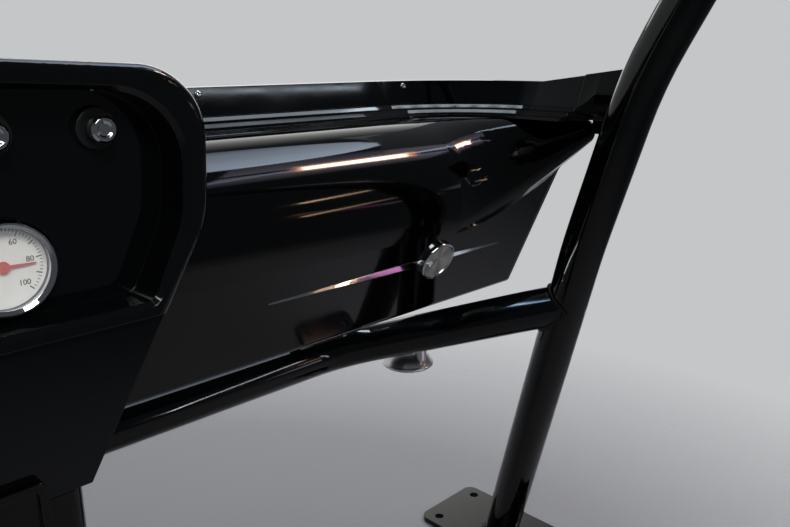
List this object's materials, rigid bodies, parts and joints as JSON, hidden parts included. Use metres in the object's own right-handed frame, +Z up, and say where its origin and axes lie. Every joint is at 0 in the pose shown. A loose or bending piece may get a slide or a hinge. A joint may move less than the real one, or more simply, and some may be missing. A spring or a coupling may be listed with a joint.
{
  "type": "car dashboard with roll hoop",
  "caption": "Rounded gloss black classic car dashboard with a shield-shaped instrument pod and console column, hung between the legs of a tubular front roll hoop and its dash bar.",
  "frame": {"origin": "on the floor, on the car's centreline, midway between the hoop's two base plates", "axes": "+X to the passenger's side, +Y forward to the windscreen, +Z up"},
  "size_m": [1.268, 0.6032, 1.1306],
  "materials": {
    "black_enamel": "gloss black enamel over sheet steel",
    "black_cage_paint": "gloss black enamel over steel tube",
    "black_moulding": "gloss black paint over moulded plastic",
    "chrome": "bright chrome plate",
    "badge_silver": "satin silver disc",
    "gauge_case": "dark anodised case",
    "dial_white": "matt white dial",
    "needle_red": "red pointer",
    "clear_glass": "clear flat glass",
    "frosted_lens": "frosted lens",
    "dark_collar": "satin black collar",
    "clamp_metal": "machined aluminium"
  },
  "bodies": {
    "root": {"roll_hoop": "black_cage_paint", "dash_bar": "black_cage_paint", "base_plate_left": "black_cage_paint", "base_plate_right": "black_cage_paint", "dash_panel": "black_enamel", "dash_end_left": "black_enamel", "dash_end_right": "black_enamel", "windscreen_rail": "black_enamel", "dash_brackets": "black_enamel", "pillar_shoes": "black_enamel", "pod_housing": "black_moulding", "console_column": "black_moulding", "console_panel": "black_moulding", "spear_left": "chrome", "spear_right": "chrome", "badge_housing": "chrome", "badge_disc": "badge_silver", "gauge_can_left": "gauge_case", "gauge_can_right": "gauge_case", "gauge_dial_left": "dial_white", "gauge_dial_right": "dial_white", "gauge_needle_left": "needle_red", "gauge_needle_right": "needle_red", "gauge_bezel_left": "chrome", "gauge_bezel_right": "chrome", "gauge_glass_left": "clear_glass", "gauge_glass_right": "clear_glass", "knob_collars": "dark_collar", "pull_knobs": "chrome", "lamp_body_left": "chrome", "lamp_body_right": "chrome", "lamp_lens_left": "frosted_lens", "lamp_lens_right": "frosted_lens", "column_hanger": "clamp_metal", "column_clamp": "clamp_metal", "gauge_straps": "clamp_metal"}
  },
  "joints": []
}
